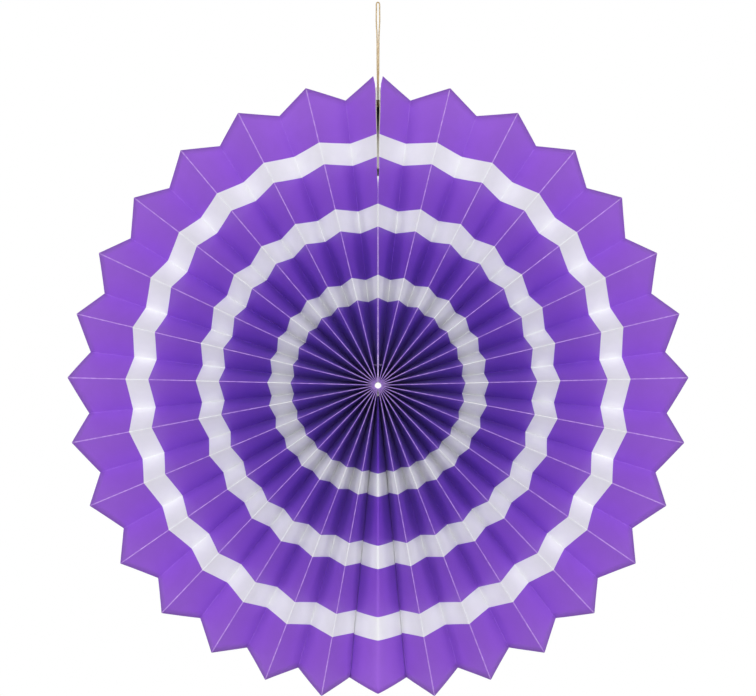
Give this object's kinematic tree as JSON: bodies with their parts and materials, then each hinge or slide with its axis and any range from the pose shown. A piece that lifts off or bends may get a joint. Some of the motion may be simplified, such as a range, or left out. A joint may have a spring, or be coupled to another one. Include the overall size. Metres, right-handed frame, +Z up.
{
  "type": "paper fan rosette",
  "caption": "Round hanging fan of pleated striped paper with a pointed rim, closed at a stiffened seam under a loop of cord.",
  "frame": {"origin": "centre of the disc, in its hub hole, halfway through the depth of the pleats", "axes": "+Y along the disc's axis towards its back, so the printed front faces -Y; +Z up through the seam and the hanging loop; +X to the viewer's right"},
  "size_m": [0.3998, 0.0264, 0.4508],
  "materials": {
    "printed_paper": "semi-matte printed violet with three white rings",
    "board": "uncoated cream-grey board",
    "tape": "pale double-sided tape",
    "foam": "dark fine-celled foam",
    "thread": "thin twisted lilac thread",
    "cord": "twisted straw-gold cord"
  },
  "bodies": {
    "root": {"left_half_sheet": "printed_paper", "right_half_sheet": "printed_paper", "joining_petal": "printed_paper", "left_end_board": "board", "right_end_board": "board", "seam_tape": "tape", "seam_pad": "foam", "hub_thread": "thread", "seam_stitch": "thread", "hanging_loop": "cord", "loop_knot": "cord"}
  },
  "joints": []
}
